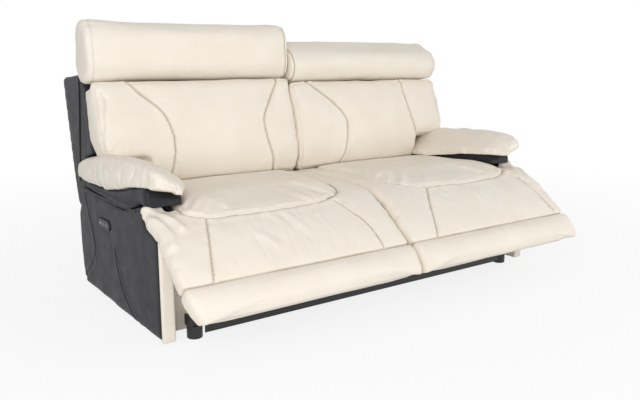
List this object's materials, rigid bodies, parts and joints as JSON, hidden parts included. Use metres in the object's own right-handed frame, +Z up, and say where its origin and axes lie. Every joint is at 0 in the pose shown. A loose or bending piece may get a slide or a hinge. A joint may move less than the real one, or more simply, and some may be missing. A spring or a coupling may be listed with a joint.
{
  "type": "reclining sofa",
  "caption": "Power reclining sofa with hinged leg rests, tilting backs, turning headrests, pillow arms and linked steel mechanisms, in cream and charcoal leather.",
  "frame": {"origin": "on the floor, at the middle of the footprint in the pictured pose", "axes": "+Z up, +Y from the leg rests to the backs, +X across, to the right as seen from the front"},
  "size_m": [2.016, 1.3542, 1.162],
  "materials": {
    "cream_leather": "soft semi-matte",
    "charcoal_leather": "soft semi-matte",
    "plywood": "raw",
    "black_steel": "satin powder coat",
    "zinc_steel": "zinc plated",
    "black_plastic": "fine moulded grain",
    "black_gloss": "polished"
  },
  "bodies": {
    "base": {"arm_panel_left": "charcoal_leather", "arm_front_left": "cream_leather", "arm_core_left": "plywood", "arm_band_left": "charcoal_leather", "arm_pad_left": "cream_leather", "switch_bezel_left": "black_plastic", "side_plates_left": "black_steel", "seat_deck_left": "plywood", "seat_cushion_left": "cream_leather", "leg_motor_left": "black_plastic", "back_motor_left": "black_plastic", "arm_panel_right": "charcoal_leather", "arm_front_right": "cream_leather", "arm_core_right": "plywood", "arm_band_right": "charcoal_leather", "arm_pad_right": "cream_leather", "switch_bezel_right": "black_plastic", "side_plates_right": "black_steel", "seat_deck_right": "plywood", "seat_cushion_right": "cream_leather", "leg_motor_right": "black_plastic", "back_motor_right": "black_plastic", "base_rail_front": "black_steel", "base_rail_rear": "black_steel", "feet": "black_plastic", "power_supply": "black_plastic"},
    "legrest_left": {"leg_board_left": "plywood", "leg_pad_left": "cream_leather", "leg_roll_left": "cream_leather", "leg_brackets_left": "black_steel"},
    "drive_left": {"drive_tube_left": "black_steel"},
    "links_left": {"push_links_left": "zinc_steel"},
    "leg_rod_left": {"leg_rod_left": "zinc_steel"},
    "back_left": {"pivot_tube_left": "black_steel", "back_uprights_left": "black_steel", "back_board_left": "plywood", "back_cushion_left": "cream_leather", "back_shell_left": "charcoal_leather"},
    "back_rod_left": {"back_rod_left": "zinc_steel"},
    "headrest_left": {"head_rod_left": "zinc_steel", "head_roll_left": "cream_leather"},
    "rocker_legs_left": {"rocker_legs_left": "black_gloss"},
    "rocker_head_left": {"rocker_head_left": "black_gloss"},
    "legrest_right": {"leg_board_right": "plywood", "leg_pad_right": "cream_leather", "leg_roll_right": "cream_leather", "leg_brackets_right": "black_steel"},
    "drive_right": {"drive_tube_right": "black_steel"},
    "links_right": {"push_links_right": "zinc_steel"},
    "leg_rod_right": {"leg_rod_right": "zinc_steel"},
    "back_right": {"pivot_tube_right": "black_steel", "back_uprights_right": "black_steel", "back_board_right": "plywood", "back_cushion_right": "cream_leather", "back_shell_right": "charcoal_leather"},
    "back_rod_right": {"back_rod_right": "zinc_steel"},
    "headrest_right": {"head_rod_right": "zinc_steel", "head_roll_right": "cream_leather"},
    "rocker_legs_right": {"rocker_legs_right": "black_gloss"},
    "rocker_head_right": {"rocker_head_right": "black_gloss"}
  },
  "joints": [
    {"name": "legrest_left", "type": "hinge", "parent": "base", "child": "legrest_left", "pos_m": [0, -0.37855, 0.368], "axis": [-1, 0, 0], "range_deg": [-49, 36]},
    {"name": "drive_left", "type": "hinge", "parent": "base", "child": "drive_left", "pos_m": [0, -0.10855, 0.25], "axis": [-1, 0, 0], "range_deg": [-50, 37]},
    {"name": "links_left", "type": "hinge", "parent": "drive_left", "child": "links_left", "pos_m": [0, -0.15922, 0.17052], "axis": [-1, 0, 0], "range_deg": [-37, 50]},
    {"name": "leg_rod_left", "type": "slide", "parent": "base", "child": "leg_rod_left", "axis": [0, 1, 0], "range_m": [-0.04085, 0.03028]},
    {"name": "back_left", "type": "hinge", "parent": "base", "child": "back_left", "pos_m": [0, 0.35145, 0.3], "axis": [-1, 0, 0], "range_deg": [0, 25]},
    {"name": "back_rod_left", "type": "slide", "parent": "base", "child": "back_rod_left", "axis": [0, 1, 0], "range_m": [-0.03996, 0.001]},
    {"name": "headrest_left", "type": "hinge", "parent": "back_left", "child": "headrest_left", "pos_m": [0, 0.33645, 1], "axis": [1, 0, 0], "range_deg": [-55, 0]},
    {"name": "rocker_legs_left", "type": "hinge", "parent": "base", "child": "rocker_legs_left", "pos_m": [-0.9865, 0.15645, 0.35], "axis": [0, 1, 0], "range_deg": [-6, 6], "stiffness_Nm_per_rad": 0.05},
    {"name": "rocker_head_left", "type": "hinge", "parent": "base", "child": "rocker_head_left", "pos_m": [-0.9865, 0.19845, 0.35], "axis": [0, 1, 0], "range_deg": [-6, 6], "stiffness_Nm_per_rad": 0.05},
    {"name": "legrest_right", "type": "hinge", "parent": "base", "child": "legrest_right", "pos_m": [0, -0.37855, 0.368], "axis": [-1, 0, 0], "range_deg": [-49, 36]},
    {"name": "drive_right", "type": "hinge", "parent": "base", "child": "drive_right", "pos_m": [0, -0.10855, 0.25], "axis": [-1, 0, 0], "range_deg": [-50, 37]},
    {"name": "links_right", "type": "hinge", "parent": "drive_right", "child": "links_right", "pos_m": [0, -0.15922, 0.17052], "axis": [-1, 0, 0], "range_deg": [-37, 50]},
    {"name": "leg_rod_right", "type": "slide", "parent": "base", "child": "leg_rod_right", "axis": [0, 1, 0], "range_m": [-0.04085, 0.03028]},
    {"name": "back_right", "type": "hinge", "parent": "base", "child": "back_right", "pos_m": [0, 0.35145, 0.3], "axis": [-1, 0, 0], "range_deg": [0, 25]},
    {"name": "back_rod_right", "type": "slide", "parent": "base", "child": "back_rod_right", "axis": [0, 1, 0], "range_m": [-0.03996, 0.001]},
    {"name": "headrest_right", "type": "hinge", "parent": "back_right", "child": "headrest_right", "pos_m": [0, 0.33645, 1], "axis": [1, 0, 0], "range_deg": [0, 55]},
    {"name": "rocker_legs_right", "type": "hinge", "parent": "base", "child": "rocker_legs_right", "pos_m": [0.9865, 0.15645, 0.35], "axis": [0, 1, 0], "range_deg": [-6, 6], "stiffness_Nm_per_rad": 0.05},
    {"name": "rocker_head_right", "type": "hinge", "parent": "base", "child": "rocker_head_right", "pos_m": [0.9865, 0.19845, 0.35], "axis": [0, 1, 0], "range_deg": [-6, 6], "stiffness_Nm_per_rad": 0.05}
  ],
  "couplings": [
    {"joint": "drive_left", "follows": "legrest_left", "ratio": 1},
    {"joint": "links_left", "follows": "legrest_left", "ratio": -1},
    {"joint": "leg_rod_left", "follows": "legrest_left", "m_per_rad": 0.0466},
    {"joint": "back_rod_left", "follows": "back_left", "m_per_rad": -0.089288},
    {"joint": "drive_right", "follows": "legrest_right", "ratio": 1},
    {"joint": "links_right", "follows": "legrest_right", "ratio": -1},
    {"joint": "leg_rod_right", "follows": "legrest_right", "m_per_rad": 0.0466},
    {"joint": "back_rod_right", "follows": "back_right", "m_per_rad": -0.089288}
  ]
}
